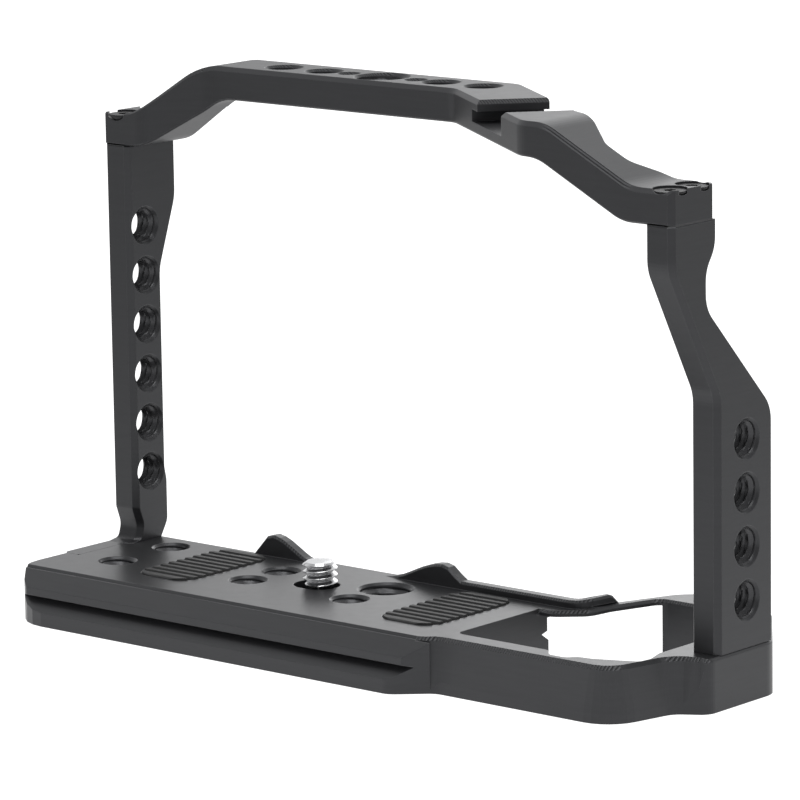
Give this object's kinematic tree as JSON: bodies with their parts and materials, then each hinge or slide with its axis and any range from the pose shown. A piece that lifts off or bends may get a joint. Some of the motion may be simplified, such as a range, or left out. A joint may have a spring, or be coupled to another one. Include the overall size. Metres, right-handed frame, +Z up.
{
  "type": "camera cage",
  "caption": "Open aluminium cage for a mirrorless camera: dovetail base plate, side arms and a raised top bar with tapped holes, and a captive camera screw.",
  "frame": {"origin": "where the axis of the camera screw meets the face of the base plate that the camera stands on, with the screw at the right end of its slot", "axes": "+Z up along the camera screw, +X towards the camera's grip side, +Y towards the lens side"},
  "size_m": [0.1461, 0.061, 0.0995],
  "materials": {
    "anodised": "black anodised, satin, with fine machining lines",
    "rubber": "matte",
    "steel": "bright turned steel",
    "black_steel": "black oxide"
  },
  "bodies": {
    "cage": {"base_plate": "anodised", "left_arm": "anodised", "right_arm": "anodised", "top_bar": "anodised", "anti_slip_pad_left": "rubber", "anti_slip_pad_right": "rubber", "top_screw_left_near": "black_steel", "top_screw_left_far": "black_steel", "top_screw_right_near": "black_steel", "top_screw_right_far": "black_steel", "foot_screw_left_near": "black_steel", "foot_screw_left_far": "black_steel", "foot_screw_right_near": "black_steel", "foot_screw_right_far": "black_steel"},
    "washer": {"camera_screw_washer": "steel"},
    "o_ring": {"camera_screw_o_ring": "rubber"},
    "screw": {"camera_screw": "steel"}
  },
  "joints": [
    {"name": "screw_along_slot", "type": "slide", "parent": "cage", "child": "washer", "axis": [1, 0, 0], "range_m": [-0.0016, 0]},
    {"name": "screw_drop", "type": "slide", "parent": "washer", "child": "o_ring", "axis": [0, 0, 1], "range_m": [-0.0045, 0]},
    {"name": "screw_turn", "type": "hinge", "parent": "o_ring", "child": "screw", "pos_m": [0, 0, 0], "axis": [0, 0, 1], "continuous": true}
  ]
}
